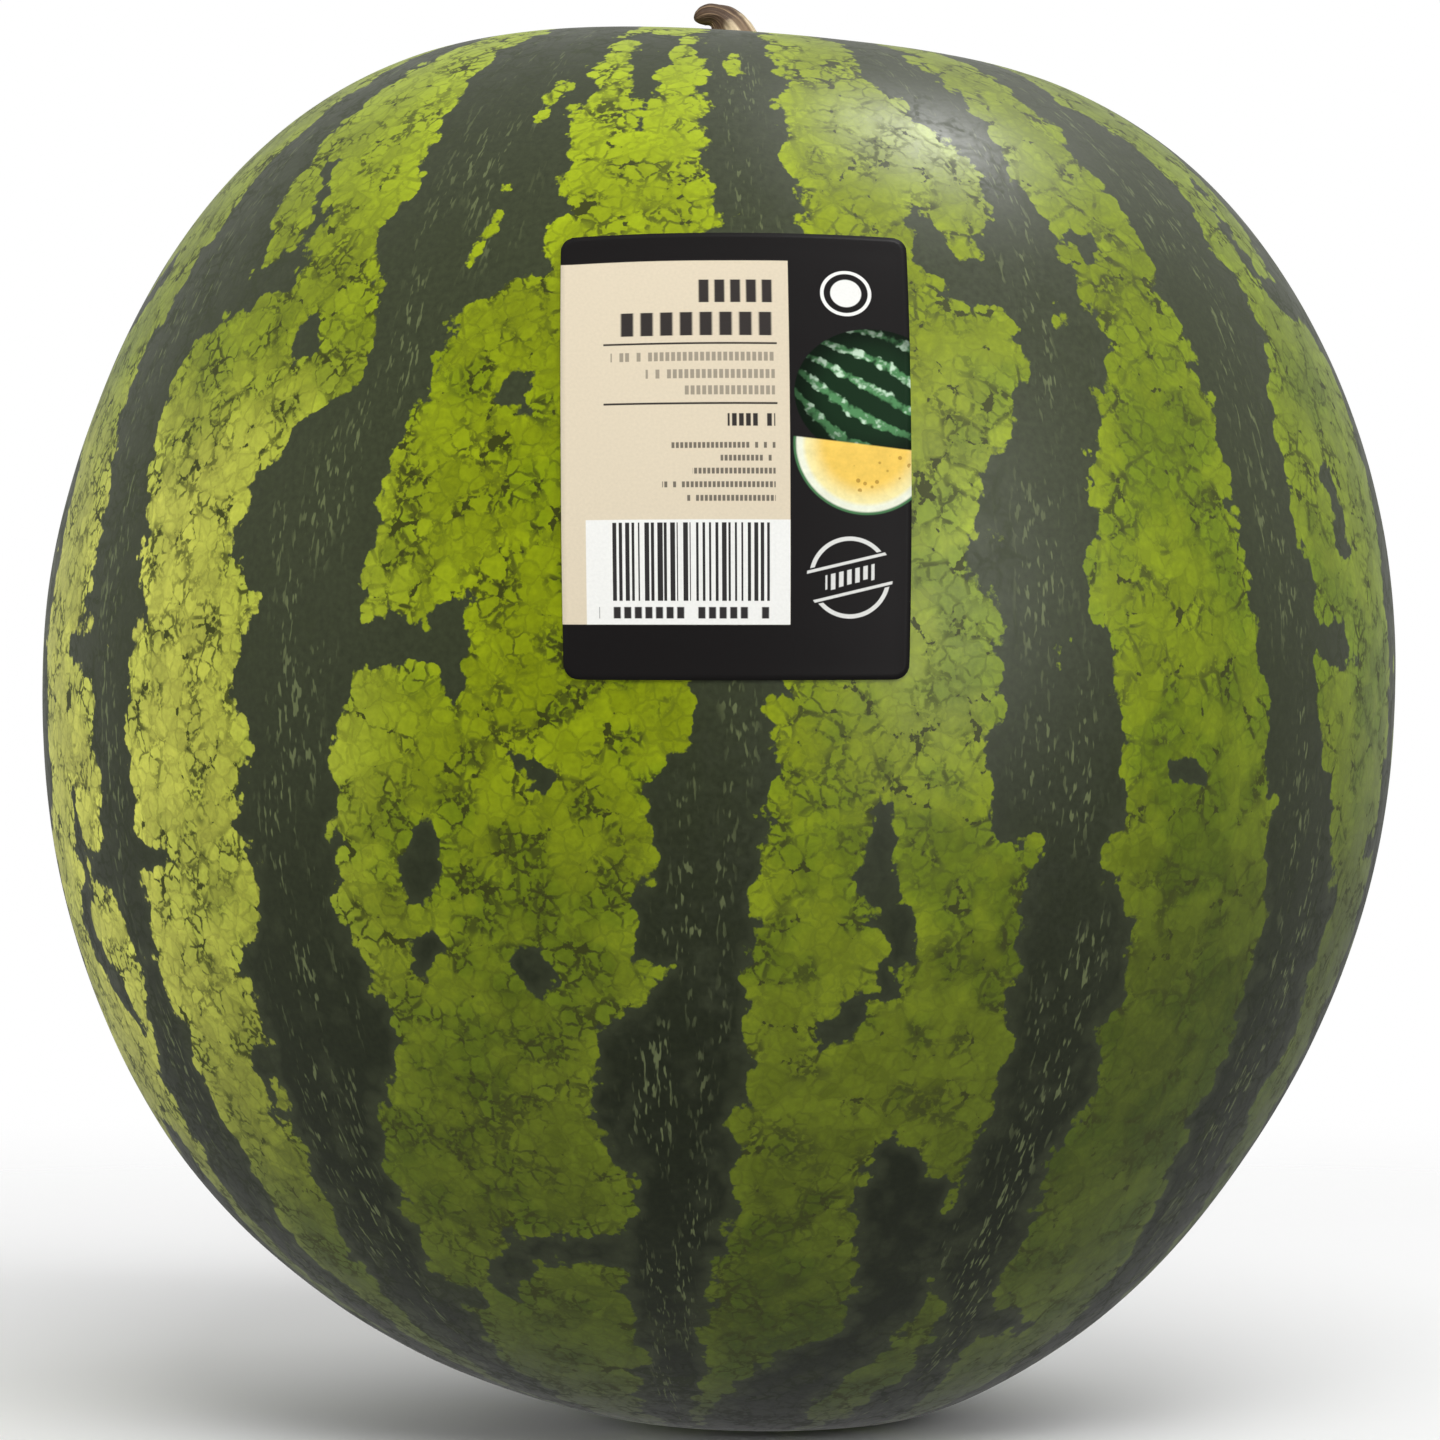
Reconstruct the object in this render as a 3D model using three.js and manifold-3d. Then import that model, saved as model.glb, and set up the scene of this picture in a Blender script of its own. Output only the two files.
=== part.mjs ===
// A round striped watermelon. It stands on the small flat spot at its blossom end, with
// the dried stub of its stem on top and a paper label stuck on the front.
// Millimetres, +Z up, the label towards -Y, and the origin under the fruit's axis.

import * as THREE from "three";
import { mergeVertices } from "three/addons/utils/BufferGeometryUtils.js";
import Module from "manifold-3d";

const { degToRad } = THREE.MathUtils;

// The fruit. Both heights are counted from its widest level.
const bodyWidth = 250;
const bodyDepth = 247;
const crownHeight = 120;
const footHeight = 140;
const restSpotRadius = 26;

// How square its outline is: 2 gives an ellipse, and more gives squarer shoulders.
const flankFullness = 2.05;
const crownFullness = 2.61;

// How far the fruit leans to +X, at some angles down from the crown.
const leans = [
  { down: degToRad(0), shift: 0 },
  { down: degToRad(16), shift: -1.9 },
  { down: degToRad(64), shift: 0.5 },
  { down: degToRad(128), shift: -1.1 },
  { down: degToRad(165), shift: 2.3 },
  { down: degToRad(180), shift: 0 },
];

// The dent that the stem grows from. It lies a little beside the fruit's axis.
const hollowDepth = 8;
const hollowRadius = 33;
const hollowOffset = 4;

// The stub of the stem. It rises, then hooks over towards -X.
const stemSeatRadius = 6;
const stemNeckRadius = 4.2;
const stemTipRadius = 1.7;
const stemRise = 10.6;
const stemReach = 8.8;
const stemRidges = 5;
const stemRidgeDepth = 0.06;

// The paper label, and where its middle lies on the fruit. It is stretched round the
// slope of the fruit, so its sides sit a little higher than its middle.
const labelWidth = 58;
const labelHeight = 78;
const labelThickness = 0.2;
const labelCornerRadius = 2.5;
const labelSideRise = 0.8;
const labelElevation = degToRad(17.8);
const labelTurn = degToRad(1.3);

// The air between the fruit and what is attached to it.
const attachmentGap = 0.3;

// How finely the shapes are cut into facets.
const skinRings = 38;
const skinSegments = 56;
const ringCrowding = 0.25;
const stemRings = 14;
const stemSegments = 20;
const labelFacet = 4;

const wasm = await Module();
wasm.setup();

// A closed geometry as a solid that can be cut.
function solidFrom(geometry) {
  const bare = geometry.clone().deleteAttribute("normal").deleteAttribute("uv");
  const merged = mergeVertices(bare);
  return new wasm.Manifold(
    new wasm.Mesh({
      numProp: 3,
      vertProperties: merged.attributes.position.array,
      triVerts: new Uint32Array(merged.index.array),
    }),
  );
}

function geometryFrom(solid) {
  const mesh = solid.getMesh();
  const geometry = new THREE.BufferGeometry();
  geometry.setAttribute("position", new THREE.BufferAttribute(mesh.vertProperties, 3));
  geometry.setIndex(new THREE.BufferAttribute(mesh.triVerts, 1));
  geometry.computeVertexNormals();
  return geometry;
}

// Moves each vertex of a geometry to where `place` puts it.
function reshape(geometry, place) {
  const position = geometry.attributes.position;
  const vertex = new THREE.Vector3();
  for (let i = 0; i < position.count; i += 1) {
    vertex.fromBufferAttribute(position, i);
    position.setXYZ(i, ...place(vertex));
  }
  geometry.computeVertexNormals();
  return geometry;
}

// The lean at an angle down from the crown, eased from each stated angle to the next.
function leanAt(down) {
  const next = Math.max(1, leans.findIndex((lean) => lean.down >= down));
  const from = leans[next - 1];
  const to = leans[next];
  const share = THREE.MathUtils.smoothstep(down, from.down, to.down);
  return THREE.MathUtils.lerp(from.shift, to.shift, share);
}

// The point of the skin in a direction from the middle of the widest level, lifted off it
// by a distance. This is the fruit before its flat spot is cut.
function skinPoint(direction, lift = 0) {
  const { x, y, z } = direction.clone().normalize();
  const across = Math.hypot(x, y);
  const down = Math.atan2(across, z);
  const longitude = Math.atan2(y, x);
  const sideways = Math.cos(longitude) / (bodyWidth / 2);
  const lengthways = Math.sin(longitude) / (bodyDepth / 2);
  const halfWidth = 1 / Math.hypot(sideways, lengthways);
  const halfHeight = z > 0 ? crownHeight : footHeight;
  const towardsCrown = Math.max(z, 0) ** 2;
  const fullness = THREE.MathUtils.lerp(flankFullness, crownFullness, towardsCrown);
  const sides = (across / halfWidth) ** fullness;
  const ends = (Math.abs(z) / halfHeight) ** fullness;
  const radius = (sides + ends) ** (-1 / fullness) + leanAt(down) * Math.cos(longitude) + lift;
  const point = new THREE.Vector3(x, y, z).multiplyScalar(radius);
  if (z > 0) {
    const fromHollow = Math.hypot(point.x - hollowOffset, point.y);
    point.z -= hollowDepth * Math.exp(-((fromHollow / hollowRadius) ** 2));
  }
  return point;
}

// The height of the flat spot, at which the plain outline has the spot's radius.
const spotShare = (restSpotRadius / (bodyWidth / 2)) ** flankFullness;
const restLevel = -footHeight * (1 - spotShare) ** (1 / flankFullness);

function melonBody() {
  const profile = [];
  for (let ring = 0; ring <= skinRings; ring += 1) {
    const share = ring / skinRings;
    const up = Math.PI * share - ringCrowding * Math.sin(2 * Math.PI * share);
    profile.push(new THREE.Vector2(Math.sin(up), -Math.cos(up)));
  }
  const sphere = new THREE.LatheGeometry(profile, skinSegments).rotateX(Math.PI / 2);
  const skin = reshape(sphere, (direction) => skinPoint(direction));
  const slab = new THREE.BoxGeometry(2 * bodyWidth, 2 * bodyDepth, footHeight);
  slab.translate(0, 0, restLevel - footHeight / 2);
  const rind = new THREE.MeshStandardMaterial({ color: 0x5f7a1e, roughness: 0.38, metalness: 0 });
  const mesh = new THREE.Mesh(geometryFrom(solidFrom(skin).subtract(solidFrom(slab))), rind);
  mesh.name = "melon_body";
  return mesh;
}

// The height at which the stem's foot clears the floor of the hollow all round.
function stemSeatLevel() {
  const footRadius = stemSeatRadius * (1 + stemRidgeDepth);
  let highest = -Infinity;
  for (let step = 0; step < stemSegments; step += 1) {
    const angle = (2 * Math.PI * step) / stemSegments;
    const x = hollowOffset + footRadius * Math.cos(angle);
    const y = footRadius * Math.sin(angle);
    highest = Math.max(highest, skinPoint(new THREE.Vector3(x, y, crownHeight)).z);
  }
  return highest + attachmentGap;
}

function driedStem() {
  // The middle line of the stub, from the centre of its seat to the end of its hook.
  const middleLine = new THREE.CubicBezierCurve3(
    new THREE.Vector3(0, 0, 0),
    new THREE.Vector3(0, 0, 0.5 * stemRise),
    new THREE.Vector3(-0.45 * stemReach, 0, 1.05 * stemRise),
    new THREE.Vector3(-stemReach, 0, stemRise),
  );
  const radii = new THREE.SplineCurve([
    new THREE.Vector2(stemSeatRadius, 0),
    new THREE.Vector2(stemNeckRadius * 1.08, 0.2),
    new THREE.Vector2(stemNeckRadius, 0.45),
    new THREE.Vector2((stemNeckRadius + stemTipRadius) / 2, 0.7),
    new THREE.Vector2(stemTipRadius, 0.92),
    new THREE.Vector2(0, 1),
  ]);
  const profile = [new THREE.Vector2(0, 0), ...radii.getPoints(stemRings)];
  const straight = new THREE.LatheGeometry(profile, stemSegments).rotateX(Math.PI / 2);
  const bent = reshape(straight, ({ x, y, z }) => {
    const along = THREE.MathUtils.clamp(z, 0, 1);
    const centre = middleLine.getPointAt(along);
    const tangent = middleLine.getTangentAt(along);
    const ridge = 1 + stemRidgeDepth * Math.cos(stemRidges * Math.atan2(y, x));
    const inBend = new THREE.Vector3(tangent.z, 0, -tangent.x).multiplyScalar(x * ridge);
    return centre.add(inBend).add(new THREE.Vector3(0, y * ridge, 0));
  });
  const bark = new THREE.MeshStandardMaterial({ color: 0x8a7452, roughness: 0.85, metalness: 0 });
  const mesh = new THREE.Mesh(bent, bark);
  mesh.name = "dried_stem";
  mesh.position.set(hollowOffset, 0, stemSeatLevel());
  return mesh;
}

// Where a point of a flat label, with its middle at the origin, lies on the fruit: it is
// as far from the label's middle along the skin as it was on the flat sheet.
function onLabelledSkin(across, up, lift) {
  const middle = new THREE.Vector3(0, -Math.cos(labelElevation), Math.sin(labelElevation));
  const side = new THREE.Vector3(1, 0, 0);
  const top = new THREE.Vector3().crossVectors(middle, side);
  const distance = Math.hypot(across, up);
  const angle = distance / skinPoint(middle).length();
  const direction = middle.multiplyScalar(Math.cos(angle));
  if (distance > 0) {
    direction.addScaledVector(side, (Math.sin(angle) * across) / distance);
    direction.addScaledVector(top, (Math.sin(angle) * up) / distance);
  }
  direction.applyAxisAngle(new THREE.Vector3(0, 0, 1), labelTurn);
  return skinPoint(direction, lift);
}

// Pulls a point in the square corner of the label onto its round corner.
function roundedCorner(across, up) {
  const beyondSide = Math.abs(across) - (labelWidth / 2 - labelCornerRadius);
  const beyondTop = Math.abs(up) - (labelHeight / 2 - labelCornerRadius);
  if (beyondSide <= 0 || beyondTop <= 0) {
    return [across, up];
  }
  const pull = 1 - Math.max(beyondSide, beyondTop) / Math.hypot(beyondSide, beyondTop);
  return [
    across - Math.sign(across) * beyondSide * pull,
    up - Math.sign(up) * beyondTop * pull,
  ];
}

function frontLabel() {
  const columns = Math.round(labelWidth / labelFacet);
  const rows = Math.round(labelHeight / labelFacet);
  const sheet = new THREE.BoxGeometry(labelWidth, labelHeight, labelThickness, columns, rows, 1);
  const bent = reshape(sheet, (vertex) => {
    const [across, up] = roundedCorner(vertex.x, vertex.y);
    const rise = labelSideRise * (across / (labelWidth / 2)) ** 2;
    return onLabelledSkin(across, up + rise, attachmentGap + labelThickness / 2 + vertex.z);
  });
  const paper = new THREE.MeshStandardMaterial({ color: 0x2a2826, roughness: 0.45, metalness: 0 });
  const mesh = new THREE.Mesh(bent, paper);
  mesh.name = "front_label";
  return mesh;
}

const watermelon = new THREE.Group();
watermelon.add(melonBody(), driedStem(), frontLabel());
watermelon.position.z = -restLevel;

export default watermelon;
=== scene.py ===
"""A whole striped watermelon, with the dried stub of its stem and a paper label.

It stands on its blossom end. Everything is in metres, with +Z up and the label towards -Y.
"""

import math

import bmesh
import bpy
import numpy as np
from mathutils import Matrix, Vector, noise


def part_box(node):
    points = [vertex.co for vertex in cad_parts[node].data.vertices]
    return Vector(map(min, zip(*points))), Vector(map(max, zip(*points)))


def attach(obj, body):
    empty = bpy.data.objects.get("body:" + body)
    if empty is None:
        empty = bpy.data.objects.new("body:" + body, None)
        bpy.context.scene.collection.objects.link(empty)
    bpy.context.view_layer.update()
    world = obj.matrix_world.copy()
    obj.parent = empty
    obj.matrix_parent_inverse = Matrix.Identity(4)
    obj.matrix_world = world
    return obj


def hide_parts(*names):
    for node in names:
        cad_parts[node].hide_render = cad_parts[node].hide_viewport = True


bl_info = {
    "name": "Striped watermelon",
    "version": (1, 0, 0),
    "blender": (4, 5, 0),
    "location": "3D View > Sidebar > Watermelon",
    "description": "Dresses the packed watermelon with its rind, its stem and its label",
    "category": "Object",
}

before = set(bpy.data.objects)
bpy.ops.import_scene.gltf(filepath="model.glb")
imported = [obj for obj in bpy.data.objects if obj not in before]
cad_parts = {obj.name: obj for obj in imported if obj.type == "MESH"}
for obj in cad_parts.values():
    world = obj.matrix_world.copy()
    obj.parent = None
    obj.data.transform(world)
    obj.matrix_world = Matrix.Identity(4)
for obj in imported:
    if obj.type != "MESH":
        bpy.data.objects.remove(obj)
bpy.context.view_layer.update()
melon_low, melon_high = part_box("melon_body")
stem_low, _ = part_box("dried_stem")

MM = 0.001
FRONT = -math.pi / 2

# What a depth counts as where a stroke is far away.
FAR = -15 * MM

# The fruit's plain outline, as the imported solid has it. Both heights are counted from its
# widest level, and a fullness of 2 gives an ellipse.
HALF_WIDTH = (melon_high.x - melon_low.x) / 2
HALF_DEPTH = (melon_high.y - melon_low.y) / 2
CROWN_HEIGHT = 120 * MM
FOOT_HEIGHT = 140 * MM
FLANK_FULLNESS = 2.05
CROWN_FULLNESS = 2.61
REST_SPOT_RADIUS = 26 * MM
REST_SPOT_SHARE = (REST_SPOT_RADIUS / HALF_WIDTH) ** FLANK_FULLNESS
WIDEST_LEVEL = FOOT_HEIGHT * (1 - REST_SPOT_SHARE) ** (1 / FLANK_FULLNESS)

# How far the fruit leans to +X: degrees down from the crown, and the shift there.
LEANS = (
    (0, 0),
    (16, -1.9 * MM),
    (64, 0.5 * MM),
    (128, -1.1 * MM),
    (165, 2.3 * MM),
    (180, 0),
)

# The dent that the stem grows from.
HOLLOW_DEPTH = 8 * MM
HOLLOW_RADIUS = 33 * MM
HOLLOW_OFFSET = 4 * MM

# The faint waves of the skin: how many there are in a metre, and their share of its height.
BROAD_WAVES, BROAD_SHARE = 26, 0.85
FINE_WAVES, FINE_SHARE = 85, 0.15
FINE_START = Vector((7, 3, 5))

# How softly the skin settles on its flat spot, and the dimple that the blossom left there.
SETTLING = 1.2 * MM
DIMPLE_DEPTH = 2.2 * MM
DIMPLE_RADIUS = 6 * MM

# The stripes run together round the stem: how much deeper the dark is there, in mm, and how
# many degrees down that fades. Nearer to a pole than the margin, a corner has no turn.
CROWN_CAP_DEPTH = 3.5
CROWN_CAP_SPREAD = 22
POLE_MARGIN = 0.01

# Between which places the skin's tone, its painted light and its painted shade change, across the
# fruit to +X and up it.
# LEFT_FLANK and SHOULDER bound the paler left flank, which is partly painted light.
LEFT_FLANK = (-108 * MM, -45 * MM)
RIGHT_SHADE = (20 * MM, 95 * MM)
RIGHT_FLANK = (20 * MM, 100 * MM)
SHOULDER = (160 * MM, 200 * MM)
# Between these heights, painted shade darkens the upper skin.
PAINTED_UPPER_SHADE = (160 * MM, 210 * MM)
OLIVE_END = (175 * MM, 215 * MM)
# CROWN, CROWN_SIDES and CROWN_MIDDLE bound the painted light on the top middle of the pale skin.
CROWN = (190 * MM, 235 * MM)
CROWN_SIDES = (20 * MM, 55 * MM)
CROWN_MIDDLE = -25 * MM
# Between these heights a painted sheen lightens the dark skin.
PAINTED_SHEEN_RISE = (40 * MM, 180 * MM)
# The SHADE_ numbers bound the painted shade low down: where it starts, how much higher it starts
# to the right, where it ends and how much higher it ends away from the left flank.
SHADE_START, SHADE_TILT = 18 * MM, 64 * MM
SHADE_END, SHADE_SPREAD = 95 * MM, 60 * MM

# The stub of the stem: how high it rises and how far it hooks over to -X, the handles of its
# middle line from the seat to the hook's end, and its radius in mm at shares of its length.
STEM_RISE = 10.1 * MM
STEM_REACH = 8.0 * MM
STEM_HANDLES = (
    (0, 0, 0),
    (-0.12 * STEM_REACH, 0, 0.68 * STEM_RISE),
    (-0.42 * STEM_REACH, 0, 1.22 * STEM_RISE),
    (-STEM_REACH, 0, 1.0 * STEM_RISE),
)
STEM_RADII = (
    (0, 6.4), (0.06, 5.6), (0.2, 4.5), (0.42, 3.9), (0.6, 3.0), (0.75, 2.2),
    (0.88, 1.9), (0.95, 1.8), (1, 1.4),
)
STEM_RIDGES = 5
STEM_FIBRES = 17
STEM_TWIST = 0.5
STEM_DOME = 0.9 * MM
STEM_LUMP = 0.25 * MM
FIBRE_RADIUS = 5 * MM

# The label's middle on the fruit, and its sheet.
LABEL_WIDTH = 58 * MM
LABEL_HEIGHT = 78 * MM
LABEL_CORNER = 2.5 * MM
LABEL_SIDE_RISE = 0.8 * MM
LABEL_ELEVATION = math.radians(17.8)
LABEL_TURN = math.radians(1.3)
LABEL_CURL = 0.12 * MM
CURL_START = 0.93

# The dark stripes in front. A band's knots are (down, left edge, right edge): degrees down
# from the crown, and degrees of turn from the front, to the right. An arm is a side branch
# or a blotch, and a gap is lime inside the dark: their knots are (down, turn, reach in mm).
STRIPES = {
    "far_left": {
        "band": (
            (8, -60, -52), (30, -61, -52), (42, -61, -53), (50, -62, -53), (56, -64, -50),
            (61, -65, -55), (66, -66, -57), (74, -63, -56), (84, -63, -54), (92, -61, -56),
            (100, -61, -55), (107, -61, -56), (114, -59, -56), (122, -63, -55),
            (130, -64, -55), (140, -65, -57), (150, -64, -54), (166, -62, -50),
        ),
        "arms": (
            ((58, -58, 5), (58, -50, 4), (57, -45, 2.5)),
            ((46, -47, 1.2), (52, -44, 1.5), (57, -45, 2)),
            ((88, -62, 3), (88, -67, 1.5)),
            ((105, -60, 4), (105, -64, 3), (105, -69, 1)),
            ((104, -57, 3), (104, -52, 1)),
        ),
        "gaps": (((87, -59, 1.2), (89, -59, 0.8)),),
    },
    "left": {
        "band": (
            (8, -36, -20), (25, -35, -18), (33, -36, -18), (38, -34, -17), (44, -33, -17),
            (50, -33, -16), (53, -34, -16), (57, -31, -23), (62, -31, -24), (66, -31, -25),
            (70, -34, -27), (74, -39, -28), (78, -42, -28), (83, -39, -29), (87, -40, -29),
            (91, -41, -31), (95, -38, -31), (100, -41, -32), (106, -40, -32),
            (110, -40, -33), (114, -43, -30), (118, -42, -29), (122, -43, -32),
            (128, -44, -34), (134, -44, -34), (139, -47, -35), (145, -46, -35),
            (152, -47, -37), (166, -48, -38),
        ),
        "arms": (
            ((87, -30, 4), (87, -24, 3.5), (88, -21, 2.5), (91, -21, 1.5)),
            ((86, -22, 2.5), (84, -20, 1)),
            ((142, -36, 2), (143, -31, 1.2)),
            ((102, -23, 1), (104, -24, 2), (106, -25, 1.5)),
            ((111, -24, 2), (112, -26, 1.2)),
            ((112, -16, 1.5), (113, -15, 1)),
            ((97, -15, 1.2), (98, -14, 0.8)),
            ((67, -17, 2), (69, -16, 1)),
            ((120, -45, 1), (125, -45, 1.5)),
            ((62, -40, 1.3), (63, -39, 0.8)),
        ),
        "gaps": (
            ((37, -20, 1.5), (41, -21, 1.2), (45, -22, 0.8)),
            ((49, -22, 0.9), (53, -22, 1), (57, -24, 0.6)),
        ),
    },
    "middle": {
        "band": (
            (8, -4, 7), (30, -3, 7), (36, -2, 7), (42, -1, 6), (52, 0, 7), (60, 0, 8),
            (75, 0, 7), (90, -2, 4), (96, -2, 4), (99, -5, 3), (105, -5, 3), (109, -7, 2),
            (112, -4, 2), (117, -6, 2), (121, -11, 2), (125, -11, 1), (129, -8, 1),
            (133, -9, 1), (138, -10, -1), (146, -10, -2), (152, -12, -3), (160, -16, -7),
            (168, -18, -8),
        ),
        "arms": (
            ((137, -9, 3), (137, -14, 2.5), (137, -20, 3), (139, -24, 2.5), (142, -26, 1)),
            ((28, -11, 3), (35, -10, 2), (40, -9, 1), (43, -9, 0.6)),
        ),
        "gaps": (((32, 2, 1.5), (35, 2, 1.5), (38, 3, 0.8)),),
    },
    "right": {
        "band": (
            (8, 22, 31), (28, 22, 31), (35, 21, 31), (40, 24, 32), (44, 27, 32),
            (50, 28, 32), (54, 28, 33), (57, 24, 34), (61, 26, 34), (64, 27, 35),
            (68, 26, 33), (72, 25, 31), (76, 21, 31), (80, 20, 30), (84, 22, 30),
            (88, 22, 31), (94, 22, 33), (97, 21, 33), (100, 25, 33), (105, 26, 32),
            (110, 26, 35), (113, 25, 36), (118, 26, 34), (123, 26, 36), (128, 25, 34),
            (133, 24, 34), (138, 23, 34), (142, 28, 36), (147, 31, 37), (152, 32, 38),
            (157, 29, 43), (166, 27, 48),
        ),
        "arms": (
            ((53, 19, 1.2), (56, 20, 3.5), (58, 23, 4), (59, 29, 4.5)),
            (
                (129, 17, 4), (133, 19, 8), (138, 20, 7), (143, 21, 6), (148, 20, 5),
                (151, 15, 7), (155, 10, 8), (160, 9, 8), (168, 8, 8),
            ),
            ((100, 13, 0.8), (106, 12, 2), (110, 15, 2.5), (114, 13, 1.5), (118, 9, 1)),
            ((97, 38, 1.2), (97, 40, 1.2)),
            ((145, 35, 4), (146, 40, 3), (147, 47, 1.2)),
            ((53, 36, 1), (55, 37, 0.8)),
        ),
        "gaps": (
            ((79, 22, 1), (80, 23, 0.8)),
            ((87, 27, 1.2), (91, 27, 1)),
            ((61, 31, 0.8), (64, 30, 1)),
        ),
    },
    "far_right": {
        "band": (
            (8, 46, 56), (30, 45, 55), (38, 44, 52), (43, 44, 57), (48, 44, 58),
            (53, 45, 56), (58, 45, 58), (62, 46, 58), (65, 46, 56), (70, 47, 54),
            (75, 46, 54), (80, 47, 55), (86, 48, 56), (92, 49, 56), (96, 50, 57),
            (101, 51, 60), (106, 52, 62), (110, 53, 65), (115, 53, 64), (120, 53, 66),
            (124, 52, 64), (129, 53, 66), (134, 55, 69), (140, 59, 72), (148, 60, 74),
            (160, 60, 72), (168, 60, 70),
        ),
        "arms": (
            ((87, 57, 3), (87, 61, 2.5), (88, 63, 1)),
            ((74, 62, 1.2), (77, 63, 1.5), (80, 63, 1)),
        ),
        "gaps": (((53, 57, 1.5), (56, 58, 1)),),
    },
}

# The stripes round the back repeat these: which one, whether it is mirrored, and how many
# degrees it is turned to the right after that.
BACK_STRIPES = (
    ("far_left", True, 20),
    ("right", False, 80),
    ("middle", True, 134),
    ("left", True, 129),
    ("far_right", True, 244),
    ("far_left", False, 280),
    ("middle", False, 249),
    ("right", True, -55),
)


# ---------------------------------------------------------------- settings


def colour_of(name, description, default):
    """A colour that a user may change."""
    return bpy.props.FloatVectorProperty(
        name=name, description=description, default=default, subtype="COLOR", min=0, max=1
    )


def watts_of(name, description, default):
    """The power of a light."""
    return bpy.props.FloatProperty(
        name=name, description=description, default=default, unit="POWER", min=0
    )


class RindSettings(bpy.types.PropertyGroup):
    """The skin of the fruit."""

    segments: bpy.props.IntProperty(
        name="Segments", description="Facets round the fruit", default=400, min=16
    )
    rings: bpy.props.IntProperty(
        name="Rings", description="Facets from crown to blossom end", default=220, min=12
    )
    # Paler on the left: partly the skin's yellower tint, partly painted light on that side.
    lime_left_tint_and_light: colour_of("Lime, left", "Pale skin on the left side", (0.46, 0.47, 0.070))
    lime_middle: colour_of("Lime, middle", "Pale skin in front", (0.215, 0.270, 0.003))
    # Greener and darker on the right: partly the skin's tint, partly painted shade on that side.
    lime_right_tint_and_shade: colour_of("Lime, right", "Pale skin on the right side", (0.180, 0.240, 0.005))
    # Darker towards the blossom end: partly the skin's tint near the ground, partly painted
    # shade.
    lime_foot_tint_and_shade: colour_of(
        "Lime, foot", "What the pale skin turns to towards the blossom end", (0.066, 0.091, 0.004)
    )
    stripe: colour_of("Stripe", "Dark skin", (0.013, 0.017, 0.007))
    # Greener patches in the dark skin, and the colour of the painted sheen on it higher up.
    stripe_moss_and_sheen: colour_of(
        "Stripe, mossy", "Greener patches in the dark skin", (0.046, 0.055, 0.025)
    )
    crack: colour_of("Crack", "The fine dark net in the pale skin", (0.036, 0.042, 0.004))
    fleck: colour_of("Fleck", "Pale dashes in the dark skin", (0.165, 0.195, 0.080))
    lobe: bpy.props.FloatProperty(
        name="Lobe", description="Size of the lobes along a stripe's edge",
        default=7 * MM, unit="LENGTH", min=1 * MM,
    )
    cell: bpy.props.FloatProperty(
        name="Cell", description="Size of the cells between the fine cracks",
        default=3.2 * MM, unit="LENGTH", min=0.5 * MM,
    )
    undulation: bpy.props.FloatProperty(
        name="Undulation", description="Height of the faint waves in the skin",
        default=0.35 * MM, unit="LENGTH", min=0,
    )


class StemSettings(bpy.types.PropertyGroup):
    """The dried stub of the stem."""

    segments: bpy.props.IntProperty(
        name="Segments", description="Facets round the stub", default=96, min=12
    )
    rings: bpy.props.IntProperty(
        name="Rings", description="Facets along the stub", default=90, min=12
    )
    bark: colour_of("Bark", "The dark end of the stub", (0.085, 0.052, 0.033))
    straw: colour_of("Straw", "The pale ridges of the stub", (0.60, 0.48, 0.31))
    furrow: colour_of("Furrow", "The furrows between the ridges", (0.22, 0.15, 0.09))
    ridge_depth: bpy.props.FloatProperty(
        name="Ridge depth", description="Depth of the ridges, as a share of the radius",
        default=0.10, subtype="FACTOR", min=0, max=0.3,
    )


class LabelSettings(bpy.types.PropertyGroup):
    """The paper label on the front."""

    thickness: bpy.props.FloatProperty(
        name="Thickness", description="Thickness of the paper",
        default=0.2 * MM, unit="LENGTH", min=0.05 * MM,
    )
    lift: bpy.props.FloatProperty(
        name="Lift", description="Glue between the paper and the skin",
        default=0.08 * MM, unit="LENGTH", min=0,
    )
    ink: colour_of("Ink", "The black ground", (0.010, 0.009, 0.009))
    card: colour_of("Card", "The buff panel", (0.63, 0.55, 0.415))
    white: colour_of("White", "Unprinted paper", (0.75, 0.75, 0.72))


class StudioSettings(bpy.types.PropertyGroup):
    """The floor, the lights and the camera."""

    camera_distance: bpy.props.FloatProperty(
        name="Camera distance", description="From the camera to the fruit's axis",
        default=1.0, unit="LENGTH", min=0.3,
    )
    focal_length: bpy.props.FloatProperty(
        name="Focal length", description="In millimetres", default=134.4, min=10
    )
    key_power: watts_of("Key power", "Softbox above the front, in watts", 15)
    strip_power: watts_of("Strip power", "Tall softbox on the right, in watts", 9)
    fill_power: watts_of("Fill power", "Softbox on the left, in watts", 13)
    window_power: watts_of("Window power", "What the crown mirrors, in watts", 19)
    wall_power: watts_of("Wall power", "What the right side mirrors, in watts", 11)
    card_power: watts_of("Card power", "What the front right mirrors, in watts", 3.6)
    room_light: bpy.props.FloatProperty(
        name="Room light", description="Strength of the light from above and behind",
        default=0.75, min=0,
    )
    front_light: bpy.props.FloatProperty(
        name="Front light", description="Strength of the light from the camera's side",
        default=0.09, min=0,
    )
    floor_radius: bpy.props.FloatProperty(
        name="Floor radius", description="Where the floor has faded into the backdrop",
        default=0.9, unit="LENGTH", min=0.3,
    )


# ---------------------------------------------------------------- shape


def smooth_share(value, low, high):
    """0 below `low`, 1 above `high`, and eased between them."""
    share = np.clip((value - low) / (high - low), 0, 1)
    return share * share * (3 - 2 * share)


def lean_at(down):
    """The lean at angles down from the crown, in degrees."""
    total = np.zeros_like(down)
    for (start, before), (end, after) in zip(LEANS, LEANS[1:]):
        total += (after - before) * smooth_share(down, start, end)
    return total


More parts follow.
